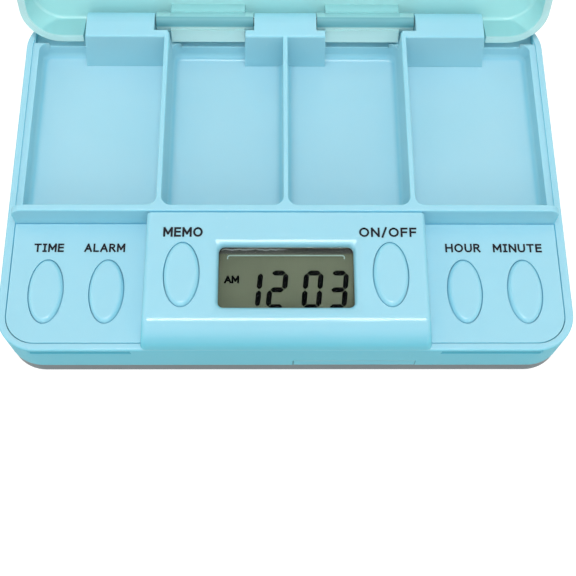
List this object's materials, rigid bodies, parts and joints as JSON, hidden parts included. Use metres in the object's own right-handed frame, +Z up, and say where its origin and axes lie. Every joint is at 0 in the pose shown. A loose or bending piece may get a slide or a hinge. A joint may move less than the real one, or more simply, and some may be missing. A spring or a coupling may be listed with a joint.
{
  "type": "electronic pill box",
  "caption": "Flat pill box with a row of open compartments, a hinged see-through lid, and a built-in timer with a digit display and oval buttons.",
  "frame": {"origin": "centre of the underside of the base plate, on the surface that the box rests on", "axes": "+X to the right, +Y from the timer towards the hinge, +Z up"},
  "size_m": [0.09, 0.0807, 0.0709],
  "materials": {
    "case_blue": "polished moulding, pale sky blue",
    "lid_teal": "polished translucent moulding, blue green tint",
    "base_grey": "fine matt moulding",
    "window_clear": "clear polished acrylic",
    "display_olive": "grey green display glass",
    "reflector_silver": "matt silver film",
    "digit_black": "dark liquid crystal",
    "holder_white": "plain natural moulding",
    "strip_rubber": "layered contact rubber",
    "board_green": "solder mask over glass fibre",
    "switch_black": "black moulding or resin",
    "chip_tan": "fired ceramic",
    "bright_steel": "nickel plated steel",
    "spring_metal": "plated spring metal",
    "buzzer_brass": "thin brass with a ceramic face"
  },
  "bodies": {
    "case": {"tray": "case_blue", "base_plate": "base_grey", "timer_cover": "case_blue", "window_lens": "window_clear", "display_glass": "display_olive", "display_reflector": "reflector_silver", "display_digits": "digit_black", "display_holder": "holder_white", "contact_strips": "strip_rubber", "circuit_board": "board_green", "switch_bodies": "switch_black", "timer_chip": "switch_black", "quartz_crystal": "bright_steel", "capacitors": "chip_tan", "battery_contact_left": "spring_metal", "battery_contact_right": "spring_metal", "buzzer_disc": "buzzer_brass", "buzzer_contacts": "spring_metal", "case_screws": "bright_steel", "board_screws": "bright_steel", "hinge_pin_left": "bright_steel", "hinge_pin_right": "bright_steel"},
    "lid": {"lid": "lid_teal"},
    "battery_drawer": {"battery_drawer": "case_blue", "coin_cell": "bright_steel"},
    "time_button": {"time_button": "case_blue", "time_plunger": "holder_white"},
    "alarm_button": {"alarm_button": "case_blue", "alarm_plunger": "holder_white"},
    "memo_button": {"memo_button": "case_blue", "memo_plunger": "holder_white"},
    "on_off_button": {"on_off_button": "case_blue", "on_off_plunger": "holder_white"},
    "hour_button": {"hour_button": "case_blue", "hour_plunger": "holder_white"},
    "minute_button": {"minute_button": "case_blue", "minute_plunger": "holder_white"}
  },
  "joints": [
    {"name": "lid_hinge", "type": "hinge", "parent": "case", "child": "lid", "pos_m": [0, 0.02835, 0.0123], "axis": [1, 0, 0], "range_deg": [0, 107]},
    {"name": "battery_drawer_slide", "type": "slide", "parent": "case", "child": "battery_drawer", "axis": [0, -1, 0], "range_m": [0, 0.017]},
    {"name": "time_press", "type": "slide", "parent": "case", "child": "time_button", "axis": [0, 0, -1], "range_m": [0, 0.0005], "stiffness_N_per_m": 300, "springref_m": -0.001},
    {"name": "alarm_press", "type": "slide", "parent": "case", "child": "alarm_button", "axis": [0, 0, -1], "range_m": [0, 0.0005], "stiffness_N_per_m": 300, "springref_m": -0.001},
    {"name": "memo_press", "type": "slide", "parent": "case", "child": "memo_button", "axis": [0, 0, -1], "range_m": [0, 0.0005], "stiffness_N_per_m": 300, "springref_m": -0.001},
    {"name": "on_off_press", "type": "slide", "parent": "case", "child": "on_off_button", "axis": [0, 0, -1], "range_m": [0, 0.0005], "stiffness_N_per_m": 300, "springref_m": -0.001},
    {"name": "hour_press", "type": "slide", "parent": "case", "child": "hour_button", "axis": [0, 0, -1], "range_m": [0, 0.0005], "stiffness_N_per_m": 300, "springref_m": -0.001},
    {"name": "minute_press", "type": "slide", "parent": "case", "child": "minute_button", "axis": [0, 0, -1], "range_m": [0, 0.0005], "stiffness_N_per_m": 300, "springref_m": -0.001}
  ]
}
